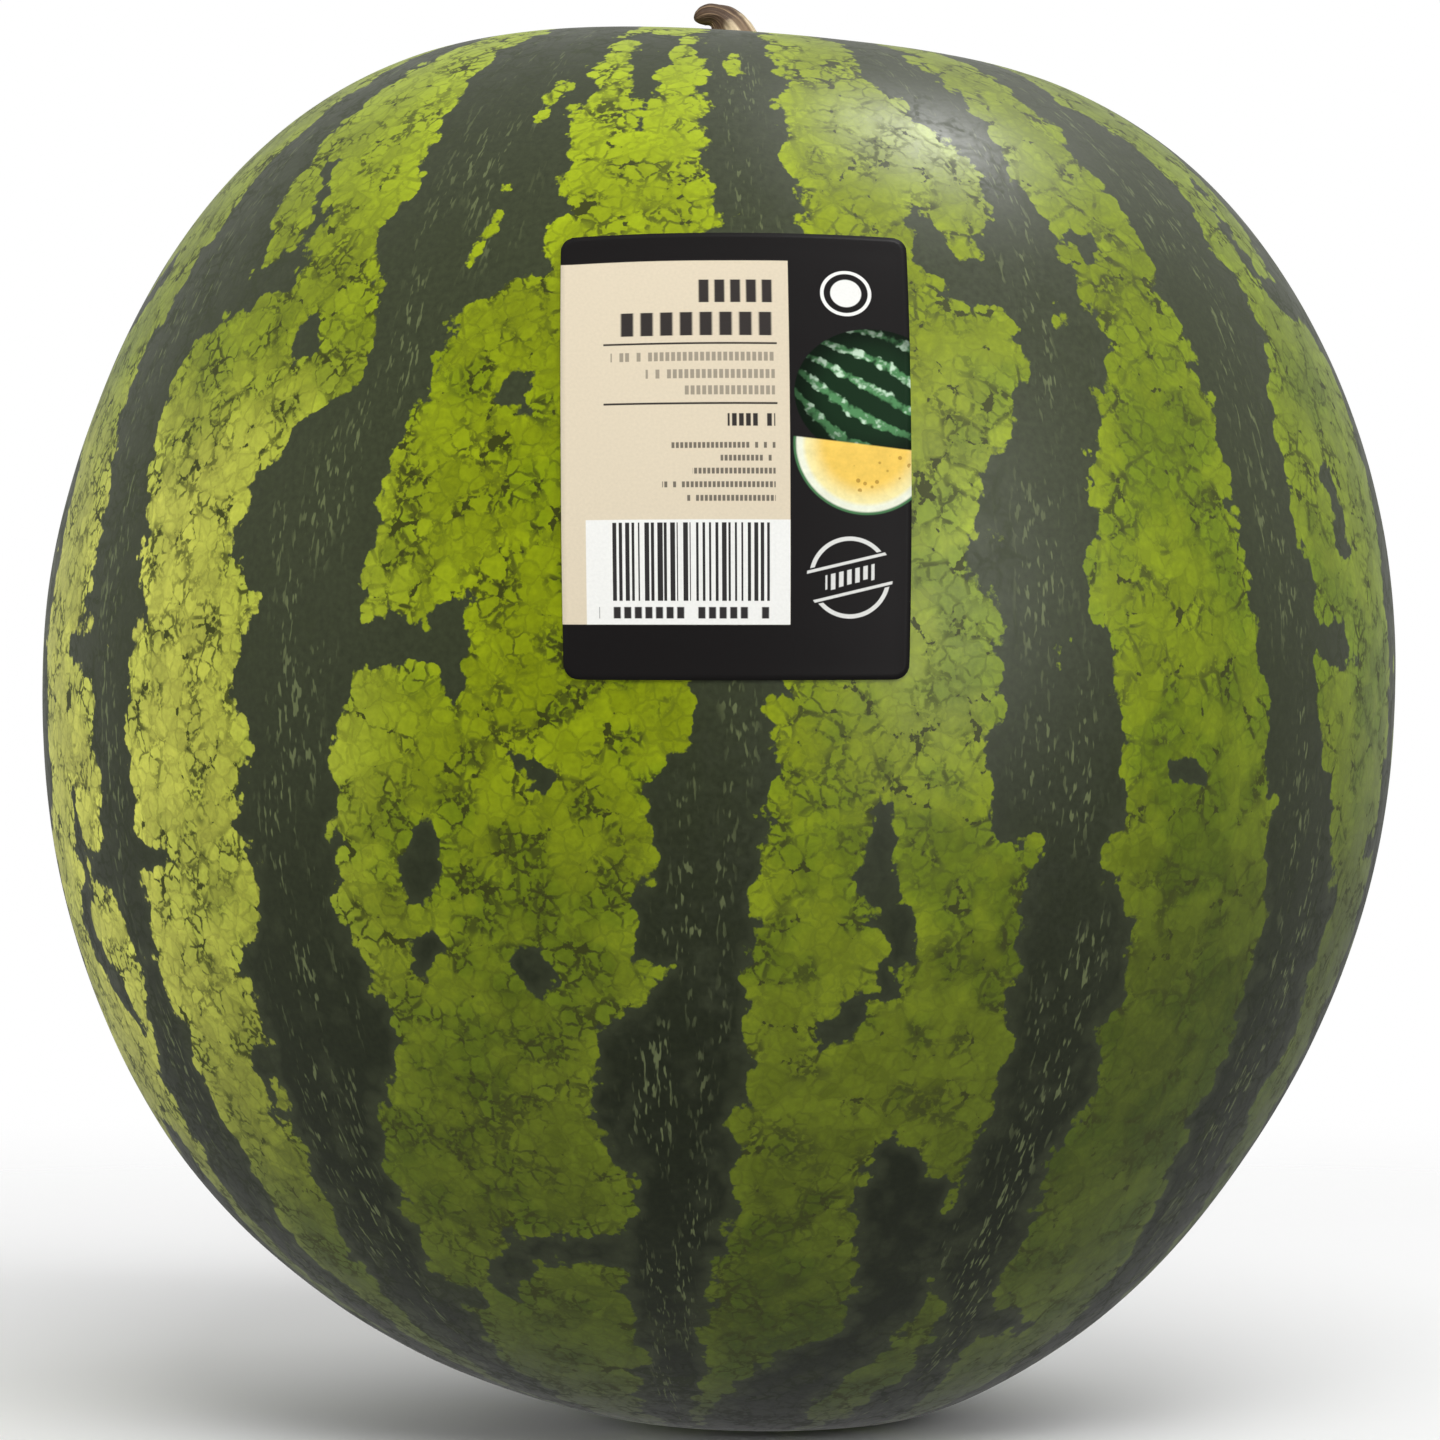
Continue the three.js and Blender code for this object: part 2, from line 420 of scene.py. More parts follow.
def skin_points(directions, lift=0.0):
    """The fruit's points in unit directions from the middle of its widest level."""
    x, y, z = directions.T
    across = np.hypot(x, y)
    down = np.degrees(np.arctan2(across, z))
    longitude = np.arctan2(y, x)
    half_width = 1 / np.hypot(np.cos(longitude) / HALF_WIDTH, np.sin(longitude) / HALF_DEPTH)
    half_height = np.where(z > 0, CROWN_HEIGHT, FOOT_HEIGHT)
    towards_crown = np.maximum(z, 0) ** 2
    fullness = FLANK_FULLNESS + (CROWN_FULLNESS - FLANK_FULLNESS) * towards_crown
    sides = (across / half_width) ** fullness
    ends = (np.abs(z) / half_height) ** fullness
    radius = (sides + ends) ** (-1 / fullness) + lean_at(down) * np.cos(longitude) + lift
    points = directions * radius[:, None]
    from_hollow = np.hypot(points[:, 0] - HOLLOW_OFFSET, points[:, 1])
    dent = HOLLOW_DEPTH * np.exp(-((from_hollow / HOLLOW_RADIUS) ** 2))
    points[:, 2] -= np.where(z > 0, dent, 0)
    return points + np.array((0, 0, WIDEST_LEVEL))


def waves(points, height):
    """Faint waves of the skin, the same for the rind and for what is stuck on it."""
    broad = [noise.noise(Vector(point) * BROAD_WAVES) for point in points]
    fine = [noise.noise(Vector(point) * FINE_WAVES + FINE_START) for point in points]
    return height * (BROAD_SHARE * np.array(broad) + FINE_SHARE * np.array(fine))


def direction_of(down, turn):
    """Unit directions at degrees down from the crown and degrees of turn from the front."""
    down = np.radians(np.asarray(down, float))
    longitude = np.radians(np.asarray(turn, float)) + FRONT
    flat = np.sin(down)
    return np.stack((flat * np.cos(longitude), flat * np.sin(longitude), np.cos(down)), -1)


def new_ball(segments, rings):
    """A closed ball of quads round Z, which each closed piece starts from."""
    shape = bmesh.new()
    bmesh.ops.create_uvsphere(shape, u_segments=segments, v_segments=rings, radius=1)
    bmesh.ops.recalc_face_normals(shape, faces=shape.faces)
    return shape


def vertices_of(mesh):
    flat = np.empty(3 * len(mesh.vertices))
    mesh.vertices.foreach_get("co", flat)
    return flat.reshape(-1, 3)


def new_piece(name, shape, place, material):
    """Makes a smooth piece of a bmesh. `place` turns its vertices into places on the fruit."""
    mesh = bpy.data.meshes.new(name)
    shape.to_mesh(mesh)
    shape.free()
    start = vertices_of(mesh)
    mesh.vertices.foreach_set("co", place(start).ravel())
    mesh.shade_smooth()
    mesh.materials.append(material)
    mesh.update()
    piece = bpy.data.objects.new(name, mesh)
    bpy.context.scene.collection.objects.link(piece)
    return piece, start


def add_values(mesh, name, values):
    """Gives a mesh's vertices a value, or a vector, that its material reads."""
    kind = "FLOAT_VECTOR" if values.ndim == 2 else "FLOAT"
    layer = mesh.attributes.new(name, kind, "POINT")
    layer.data.foreach_set("vector" if values.ndim == 2 else "value", values.ravel())


def add_bake_map(mesh, corner_places):
    """Lays a mesh out flat, without overlaps, for baking."""
    layer = mesh.uv_layers.new(name="OFBake")
    layer.uv.foreach_set("vector", corner_places.ravel())


def corners_of(mesh):
    """The vertex, and the face, of each face corner."""
    corner_vertex = np.empty(len(mesh.loops), int)
    mesh.loops.foreach_get("vertex_index", corner_vertex)
    sizes = np.empty(len(mesh.polygons), int)
    mesh.polygons.foreach_get("loop_total", sizes)
    return corner_vertex, np.repeat(np.arange(len(sizes)), sizes)


# ---------------------------------------------------------------- stripes


def knots_of_band(band):
    """A band's middle line as points on the skin, with half its width at each."""
    down, left, right = np.array(band, float).T
    edges = [skin_points(direction_of(down, turn)) for turn in (left, right)]
    middle = skin_points(direction_of(down, (left + right) / 2))
    return middle, np.linalg.norm(edges[1] - edges[0], axis=1) / 2


def knots_of_stroke(stroke):
    down, turn, reach = np.array(stroke, float).T
    return skin_points(direction_of(down, turn)), reach * MM


def strokes_turned(stripe, mirrored, turn):
    """A stripe's bands, arms and gaps, mirrored or not and turned round the fruit."""
    side = -1 if mirrored else 1
    band = [(down, side * a + turn, side * b + turn) for down, a, b in stripe["band"]]
    moved = {"band": [band]}
    for kind in ("arms", "gaps"):
        moved[kind] = [
            [(down, side * at + turn, reach) for down, at, reach in stroke]
            for stroke in stripe[kind]
        ]
    return moved


def depth_inside(points, middle, reach):
    """How deep points are inside a stroke, and how far from its middle line, as a share."""
    depth = np.full(len(points), FAR)
    share = np.full(len(points), 3.0)
    beyond = reach.max() - FAR
    nearby = np.all(np.abs(points - (middle.max(0) + middle.min(0)) / 2)
                    < (middle.max(0) - middle.min(0)) / 2 + beyond, axis=1)
    at = points[nearby]
    for start, end, near, far in zip(middle, middle[1:], reach, reach[1:]):
        run = end - start
        along = np.clip((at - start) @ run / (run @ run), 0, 1)
        distance = np.linalg.norm(at - start - along[:, None] * run, axis=1)
        width = near + along * (far - near)
        depth[nearby] = np.maximum(depth[nearby], width - distance)
        share[nearby] = np.minimum(share[nearby], distance / width)
    return depth, share


def stripe_fields(points):
    """For each point: its depth inside the dark in mm, and its place across a band."""
    dark = np.full(len(points), FAR)
    light = np.full(len(points), FAR)
    across = np.full(len(points), 3.0)
    placed = [(name, False, 0) for name in STRIPES]
    for name, mirrored, turn in (*placed, *BACK_STRIPES):
        strokes = strokes_turned(STRIPES[name], mirrored, turn)
        for band in strokes["band"]:
            depth, share = depth_inside(points, *knots_of_band(band))
            dark = np.maximum(dark, depth)
            across = np.minimum(across, share)
        for arm in strokes["arms"]:
            dark = np.maximum(dark, depth_inside(points, *knots_of_stroke(arm))[0])
        for gap in strokes["gaps"]:
            light = np.maximum(light, depth_inside(points, *knots_of_stroke(gap))[0])
    return np.minimum(dark, -light) / MM, across


# ---------------------------------------------------------------- materials


class Value:
    """A shader socket that can be reckoned with: each operator adds its Math node."""

    def __init__(self, paint, socket):
        self.paint = paint
        self.socket = socket

    def __add__(self, other):
        return self.paint.math("ADD", self, other)

    def __sub__(self, other):
        return self.paint.math("SUBTRACT", self, other)

    def __rsub__(self, other):
        return self.paint.math("SUBTRACT", other, self)

    def __mul__(self, other):
        return self.paint.math("MULTIPLY", self, other)

    def __truediv__(self, other):
        return self.paint.math("DIVIDE", self, other)

    def __pow__(self, other):
        return self.paint.math("POWER", self, other)

    def __abs__(self):
        return self.paint.math("ABSOLUTE", self)

    __radd__ = __add__
    __rmul__ = __mul__

    def most(self, other):
        return self.paint.math("MAXIMUM", self, other)

    def least(self, other):
        return self.paint.math("MINIMUM", self, other)

    def rise(self, low, high):
        """0 below `low` and 1 above `high`, eased between them."""
        inputs = {"Value": self, "From Min": low, "From Max": high}
        settings = {"interpolation_type": "SMOOTHSTEP"}
        return self.paint.node("ShaderNodeMapRange", settings, inputs)

    def other(self, output):
        """Another output of the same node."""
        return Value(self.paint, self.socket.node.outputs[output])


class Paint:
    """The nodes of a material, or of the room's light, while they are put together."""

    def __init__(self, owner):
        owner.use_nodes = True
        self.owner = owner
        self.nodes = owner.node_tree.nodes
        self.links = owner.node_tree.links
        self.nodes.clear()

    def node(self, kind, settings=None, inputs=None, output=0):
        made = self.nodes.new(kind)
        for name, setting in (settings or {}).items():
            setattr(made, name, setting)
        for name, value in (inputs or {}).items():
            socket = made.inputs[name]
            if isinstance(value, Value):
                self.links.new(value.socket, socket)
            elif socket.type == "RGBA":
                socket.default_value = (*value, 1)
            else:
                socket.default_value = value
        return Value(self, made.outputs[output]) if made.outputs else None

    def math(self, operation, *values):
        return self.node("ShaderNodeMath", {"operation": operation}, dict(enumerate(values)))

    def vector(self, operation, *values, scale=None):
        inputs = dict(enumerate(values))
        if scale is not None:
            inputs["Scale"] = scale
        return self.node("ShaderNodeVectorMath", {"operation": operation}, inputs)

    def mix(self, share, before, after):
        """A colour between two others."""
        inputs = {0: share, 6: before, 7: after}
        return self.node("ShaderNodeMix", {"data_type": "RGBA"}, inputs, output=2)

    def tint(self, colour, factor):
        """A colour made lighter or darker by a value."""
        return self.vector("SCALE", colour, scale=factor)

    def place(self):
        """Places on the piece, in metres."""
        return self.node("ShaderNodeTexCoord", output="Object")

    def reading(self, name, output="Fac"):
        return self.node("ShaderNodeAttribute", {"attribute_name": name}, output=output)

    def axes(self, vector):
        """The three numbers of a vector."""
        x = self.node("ShaderNodeSeparateXYZ", inputs={"Vector": vector})
        return x, x.other("Y"), x.other("Z")

    def stretched(self, vector, factors):
        return self.vector("MULTIPLY", vector, factors)

    def noise(self, vector, size, detail=2.0, roughness=0.5):
        """Cloudy noise from 0 to 1, with features of about `size`."""
        inputs = {
            "Vector": vector, "Scale": 1 / size, "Detail": detail, "Roughness": roughness
        }
        return self.node("ShaderNodeTexNoise", inputs=inputs)

    def cells(self, vector, size, feature="F1"):
        """Cells of about `size`: the distance from the nearest seed, or from the edge."""
        inputs = {"Vector": vector, "Scale": 1 / size}
        return self.node("ShaderNodeTexVoronoi", {"feature": feature}, inputs)

    def warped(self, vector, size, amount):
        """A vector pushed about by noise."""
        push = self.vector("SUBTRACT", self.noise(vector, size).other("Color"), (0.5,) * 3)
        return self.vector("ADD", vector, self.vector("SCALE", push, scale=amount))

    def finish(self, colour, roughness, height, plain=None):
        """Joins the surface up. `height` is in metres, and `plain` holds uniform numbers."""
        bump = self.node("ShaderNodeBump", inputs={"Distance": 1.0, "Height": height})
        inputs = {"Base Color": colour, "Roughness": roughness, "Normal": bump}
        surface = self.node("ShaderNodeBsdfPrincipled", inputs={**inputs, **(plain or {})})
        self.node("ShaderNodeOutputMaterial", inputs={"Surface": surface})
        return self.owner


def rind_material(look):
    paint = Paint(bpy.data.materials.new("striped_rind"))
    place = paint.place()
    x, y, z = paint.axes(place)
    depth = paint.reading("stripe_depth")
    across = paint.reading("band_share")
    growth = paint.reading("growth", "Vector")

    # The edge of the dark: lime lobes bulge into it, and it runs up between them.
    bent = paint.warped(place, 9 * MM, 6 * MM)
    lobes = paint.cells(bent, look.lobe)
    lobe_seams = paint.cells(bent, look.lobe, "DISTANCE_TO_EDGE")
    crumpled = paint.warped(place, 2.0 * MM, 2.2 * MM)
    crumbs = paint.cells(crumpled, look.cell)
    crumb_seams = paint.cells(crumpled, look.cell, "DISTANCE_TO_EDGE")
    ragged = paint.noise(place, 1.0 * MM, 2.0)
    wander = paint.noise(place, 7 * MM, 2.0)
    drift = paint.noise(place, 26 * MM, 1.0)
    edge = depth
    for pattern, mean, push_in_mm in (
        (lobes, 0.42, 4.8), (crumbs, 0.42, 2.8), (ragged, 0.5, 2.4), (wander, 0.5, 4.2),
    ):
        edge = edge + (pattern - mean) * push_in_mm
    dark = edge.rise(-0.35, 0.35)

    # The pale skin: yellower and paler to the left, partly painted light there; greener and
    # darker to the right, partly painted shade; darker low down, painted shade with a darker tint
    # near the ground; brightest along the dark.
    inward = x.rise(*LEFT_FLANK).most(z.rise(*SHOULDER))
    # Painted shade: the pale skin darkens low down, from a height that is greater to the right.
    painted_shade_start = SHADE_START + x.rise(*RIGHT_SHADE) * SHADE_TILT
    low = 1 - z.rise(painted_shade_start, SHADE_END + inward * SHADE_SPREAD)
    # The lower left flank is paler: partly its yellower tint, partly painted light.
    lime = paint.mix(inward, look.lime_left_tint_and_light, look.lime_middle)
    # The right side is greener and darker: partly its tint, partly painted shade.
    lime = paint.mix(x.rise(*RIGHT_FLANK), lime, look.lime_right_tint_and_shade)
    lime = paint.mix(low, lime, look.lime_foot_tint_and_shade)
    olive = (drift + (wander - 0.5) * 0.8).rise(0.42, 0.66) * (1 - z.rise(*OLIVE_END))
    olive = olive * (0.35 + inward * 0.65)
    lime = paint.mix(olive * 0.70, lime, paint.stretched(lime, (0.60, 0.70, 0.5)))
    lobe_tone = paint.axes(lobes.other("Color"))[0]
    crumb_tone = paint.axes(crumbs.other("Color"))[0]
    near = edge.rise(-5.0, -0.6)
    # Painted light: the pale skin is brighter on the top middle, where the light from above
    # falls.
    crown = z.rise(*CROWN) * (1 - abs(x - CROWN_MIDDLE).rise(*CROWN_SIDES))
    tone = 0.44
    for pattern, share in (
        (lobe_tone, 0.26), (crumb_tone, 0.20), (ragged, 0.56), (near, 0.16), (crown, 0.54),
    ):
        tone = tone + pattern * share
    # Painted shade: the upper skin is darker, beside the painted light on the top middle.
    tone = tone - z.rise(*PAINTED_UPPER_SHADE) * 0.10
    lime = paint.tint(lime, tone)

    # Cracks in it: broken lines between the lobes, with finer ones in patches.
    patchy = wander.rise(0.42, 0.62)
    sided = 1 - x.rise(-20 * MM, 60 * MM) * 0.45
    long_net = 1 - (lobe_seams * (look.lobe / MM) / (0.35 + ragged * 0.60)).rise(0.30, 1.0)
    long_net = long_net * (patchy * 0.7 + near * 0.3 + 0.15).least(1.0)
    fine_net = 1 - (crumb_seams * (look.cell / MM) / (0.14 + ragged * 0.52)).rise(0.20, 1.0)
    fine_net = fine_net * (0.30 + patchy * 0.60 + olive * 0.25).least(1.0)
    net = long_net.most(fine_net * sided) * ragged.rise(0.36, 0.50)
    pits = (crumbs * 1.2 + wander * 0.9 + ragged * 0.9).rise(1.90, 2.02)
    cracks = (net * 0.95).most(pits)
    lime = paint.mix(cracks, lime, look.crack)

    # The dark skin, greener in patches and where it is narrow, and lighter and greener higher up,
    # which is a painted sheen, with rows of pale dashes.
    moss_and_sheen = (wander.rise(0.44, 0.74) * 0.45).most((1 - edge.rise(0.5, 4.0)) * 0.5)
    # Painted sheen: higher up, the dark skin takes the lighter, greener colour.
    moss_and_sheen = moss_and_sheen.most(z.rise(*PAINTED_SHEEN_RISE) * 0.66)
    stripe = paint.mix(moss_and_sheen, look.stripe, look.stripe_moss_and_sheen)
    stripe = paint.tint(stripe, 0.62 + ragged * 0.76)
    dashes = paint.noise(paint.stretched(growth, (1, 1, 0.3)), 0.8 * MM, 1.0).rise(0.57, 0.68)
    rows = paint.noise(paint.stretched(growth, (1, 1, 0.2)), 5 * MM, 1.0).rise(0.40, 0.60)
    middle = 1 - across.rise(0.30, 0.90)
    dashes = dashes * rows * middle
    stripe = paint.mix(dashes * 0.55, stripe, look.fleck)

    colour = paint.mix(dark, lime, stripe)
    roughness = 0.38 + dark * 0.03 + cracks * 0.12 + (wander - 0.5) * 0.14
    pores = paint.noise(place, 0.8 * MM, 1.0) * 0.012 * MM
    return paint.finish(colour, roughness, pores, {"Specular IOR Level": 0.22})


def stem_material(look):
    paint = Paint(bpy.data.materials.new("dry_stem"))
    place = paint.place()
    rise = paint.reading("rise")
    ridge = paint.reading("ridge")
    fibre = paint.reading("fibre", "Vector")
    streaks = paint.noise(paint.stretched(fibre, (1, 1, 0.15)), 0.8 * MM, 3.0)
    blotches = paint.noise(place, 2.5 * MM, 3.0)
    pale = ridge.rise(0.35, 0.8)
    lower = paint.mix(pale, look.furrow, look.straw)
    top = (rise + (blotches - 0.5) * 0.45).rise(0.40, 0.62)
    bark = paint.mix(streaks.rise(0.50, 0.70), look.bark, look.furrow)
    colour = paint.mix(top, lower, bark)
    colour = paint.tint(colour, 0.25 + streaks * 1.1 + blotches * 0.4)
    height = (streaks * 0.28 + blotches * 0.14) * MM
    return paint.finish(colour, 0.72 + streaks * 0.2, height, {"Specular IOR Level": 0.3})


def label_material(look):
    paint = Paint(bpy.data.materials.new("printed_label"))
    sheet = paint.reading("sheet", "Vector")
    # Places on the sheet are in mm from its lower left corner, and an edge is this soft.
    across, up, depth = paint.axes(sheet)
    soft = 0.07

    def between(value, low, high):
        return value.rise(low - soft, low + soft) * (1 - value.rise(high - soft, high + soft))

    def box(left, right, bottom, top):
        return between(across, left, right) * between(up, bottom, top)

    def columns(width, start=0.0):
        """Even columns: the place across each one, and a chance number for it."""
        counted = (across + start) / width
        inside = paint.math("FRACT", counted)
        column = paint.math("FLOOR", counted)
        chance = paint.node("ShaderNodeTexWhiteNoise", {"noise_dimensions": "1D"}, {"W": column})
        return inside, chance

    def words(left, right, level, height, letter, seed):
        """A line of little upright marks in word-like groups, which says nothing."""
        inside, chance = columns(letter, seed)
        mark = between(inside, 0.14, 0.82) * chance.rise(0.14, 0.15)
        return mark * box(left, right, level, level + height)

    def heading(left, right, level, height, count):
        """A row of plain heavy blocks."""
        inside, _ = columns((right - left) / count, -left)
        return between(inside, 0.16, 0.80) * box(left, right, level, level + height)

    ink = look.ink
    colour = paint.mix(box(0, 37.8, 9.1, 72.6), ink, look.card)

    # Headings, rules and small print on the panel.
    print_marks = heading(22.6, 35.6, 64.6, 4.3, 5)
    print_marks = print_marks.most(heading(9.6, 35.6, 58.5, 4.3, 8))
    for level in (56.9, 46.2):
        print_marks = print_marks.most(box(7.2, 35.8, level, level + 0.35))
    print_marks = print_marks.most(words(27.6, 35.4, 42.4, 2.2, 1.15, 5.2))
    for left, level in ((8.4, 53.9), (14.2, 50.8), (20.2, 47.9)):
        print_marks = print_marks.most(words(left, 35.4, level, 1.6, 0.95, level) * 0.55)
    for left, level in ((18.2, 38.6), (26.4, 36.4), (21.8, 34.2), (16.8, 31.9), (20.8, 29.6)):
        print_marks = print_marks.most(words(left, 35.4, level, 1.0, 0.72, level) * 0.8)
    colour = paint.mix(print_marks, colour, (0.035, 0.03, 0.028))

    # A white box of bars of chance widths.
    colour = paint.mix(box(4.1, 37.8, 9.1, 26.5), colour, look.white)
    inside, chance = columns(1.06)
    bars = (1 - (inside - chance * 0.72).rise(0.16, 0.22)) * inside.rise(0.02, 0.06)
    bars = bars * box(8.4, 34.4, 13.0, 26.0)
    bars = bars.most(words(6.2, 36.2, 10.1, 1.9, 1.75, 0.4))
    colour = paint.mix(bars, colour, (0.03, 0.028, 0.028))

    # A plain disc, a picture of a melon and a slice, and a plain ring.
    def distance(centre_across, centre_up, flatten=1.0):
        aside = across - centre_across
        above = (up - centre_up) * flatten
        return (aside * aside + above * above) ** 0.5

    disc = distance(47.4, 66.6)
    sun = (1 - disc.rise(2.5, 2.7)).most(between(disc, 3.7, 4.3))
    colour = paint.mix(sun, colour, look.white)

    melon_across, melon_up = 51.6, 48.4
    whole = distance(melon_across, melon_up, 1.12)
    inside = 1 - whole.rise(12.9, 13.1)
    along = (across - melon_across) * 0.86 - (up - melon_up) * 0.50
    aside = (across - melon_across) * 0.50 + (up - melon_up) * 0.86
    wobble = paint.noise(sheet, 1.6, 2.0)
    bulge = 1.25 + along * along * 0.0045
    bands = paint.math("SINE", aside * bulge * 1.02 + 0.9)
    light = (bands + (wobble - 0.5) * 2.6).rise(0.25, 0.85)
    rind = paint.mix(light, (0.006, 0.022, 0.008), (0.075, 0.22, 0.085))
    rind = paint.mix(light * (wobble + up * 0.01).rise(1.0, 1.18), rind, (0.50, 0.66, 0.50))
    shade = 1 - whole.rise(7.0, 13.0) * 0.70
    colour = paint.mix(inside, colour, paint.tint(rind, shade))

    slice_across = 50.4
    slice_round = distance(slice_across, 39.4)
    flat_side = (up + (across - slice_across) * 0.11).rise(39.2, 39.5)
    wedge = (1 - slice_round.rise(11.9, 12.2)) * (1 - flat_side)
    pulp = wobble * 0.30 + 0.82
    flesh = paint.mix(slice_round.rise(6.5, 10.4), (0.78, 0.52, 0.10), (0.80, 0.72, 0.36))
    seeds = 1 - paint.cells(sheet, 1.9).rise(0.16, 0.24)
    seeds = seeds * between(slice_round, 3.2, 8.2)
    flesh = paint.mix(seeds * 0.75, flesh, (0.34, 0.19, 0.03))
    flesh = paint.mix(slice_round.rise(9.9, 10.8), flesh, (0.74, 0.76, 0.62))
    flesh = paint.mix(slice_round.rise(11.4, 11.8), flesh, (0.06, 0.17, 0.07))
    colour = paint.mix(wedge, colour, paint.tint(flesh, pulp))

    # A ring broken by a slanted row of marks between two rules.
    ring_across, ring_up = 47.7, 16.9
    stamp = distance(ring_across, ring_up)
    slant = up - ring_up - (across - ring_across) * 0.24
    ring = between(stamp, 6.1, 6.8) * abs(slant).rise(3.0, 3.2)
    rules = between(abs(slant), 2.3, 2.8) * (1 - stamp.rise(7.1, 7.3))
    inside, chance = columns(1.35, 0.3)
    marks = between(inside, 0.2, 0.75) * between(slant, chance * 0.5 - 1.4, 1.3)
    marks = marks * between(across, 43.6, 51.8)
    colour = paint.mix(ring.most(rules).most(marks) * 0.85, colour, look.white)

    # Only the front is printed.
    colour = paint.mix(depth.rise(0.6, 0.9), look.white, colour)
    grain = paint.noise(sheet, 0.5, 3.0)
    colour = paint.tint(colour, 0.93 + grain * 0.14)
    roughness = 0.42 + grain * 0.12
    return paint.finish(colour, roughness, grain * 0.012 * MM, {"Specular IOR Level": 0.05})


def floor_material(look):
    paint = Paint(bpy.data.materials.new("studio_floor"))
    place = paint.place()
    clouds = paint.noise(place, 0.4, 3.0)
    colour = paint.mix(clouds, (0.93, 0.93, 0.93), (0.96, 0.96, 0.96))
    away = paint.node("ShaderNodeVectorMath", {"operation": "LENGTH"}, {0: place}, "Value")
    shown = 1 - away.rise(0.18 * look.floor_radius, 0.8 * look.floor_radius)
    grain = paint.noise(place, 0.004) * 0.02 * MM
    return paint.finish(colour, 0.7 + clouds * 0.1, grain, {"Alpha": shown})


# ---------------------------------------------------------------- pieces


class WATERMELON_OT_rind(bpy.types.Operator):
    """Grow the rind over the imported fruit"""

    bl_idname = "watermelon.rind"
    bl_label = "Rind"

    def execute(self, context):
        look = context.scene.melon_rind
        shape = new_ball(look.segments, look.rings)
        skin = {}

        def place(start):
            directions = start / np.linalg.norm(start, axis=1, keepdims=True)
            skin["plain"] = skin_points(directions)
            points = skin_points(directions, waves(skin["plain"], look.undulation))
            # It settles on its flat spot, round a dimple where the blossom was.
            sunk = points[:, 2]
            points[:, 2] = SETTLING * np.logaddexp(0, sunk / SETTLING)
            from_scar = np.hypot(points[:, 0], points[:, 1])
            dimple = DIMPLE_DEPTH * np.exp(-((from_scar / DIMPLE_RADIUS) ** 2))
            points[:, 2] += np.where(directions[:, 2] < 0, dimple, 0)
            points[:, 2] = np.maximum(points[:, 2], 0)
            return points

        rind, start = new_piece("melon_rind", shape, place, rind_material(look))
        depth, across = stripe_fields(skin["plain"])
        down = np.degrees(np.arctan2(np.hypot(start[:, 0], start[:, 1]), start[:, 2]))
        depth += CROWN_CAP_DEPTH * np.exp(-((down / CROWN_CAP_SPREAD) ** 2))
        longitude = np.arctan2(start[:, 1], start[:, 0])
        growth = np.stack((
            HALF_WIDTH * np.cos(longitude),
            HALF_WIDTH * np.sin(longitude),
            np.radians(down) * HALF_WIDTH,
        ), -1)
        add_values(rind.data, "stripe_depth", depth)
        add_values(rind.data, "band_share", across)
        add_values(rind.data, "growth", growth)

        corner_vertex, corner_face = corners_of(rind.data)
        turn = np.degrees(longitude - FRONT)
        turn = (turn + 180) % 360 - 180
        centres = np.empty(3 * len(rind.data.polygons))
        rind.data.polygons.foreach_get("center", centres)
        centres = centres.reshape(-1, 3)
        face_turn = np.degrees(np.arctan2(centres[:, 1], centres[:, 0]) - FRONT)
        face_turn = ((face_turn + 180) % 360 - 180)[corner_face]
        corner_turn = turn[corner_vertex]
        corner_turn += 360 * np.round((face_turn - corner_turn) / 360)
        corner_down = down[corner_vertex]
        at_pole = (corner_down < POLE_MARGIN) | (corner_down > 180 - POLE_MARGIN)
        corner_turn[at_pole] = face_turn[at_pole]
        add_bake_map(rind.data, np.stack((corner_turn / 360 + 0.5, 1 - corner_down / 180), -1))
        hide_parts("melon_body")
        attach(rind, "root")
        return {"FINISHED"}


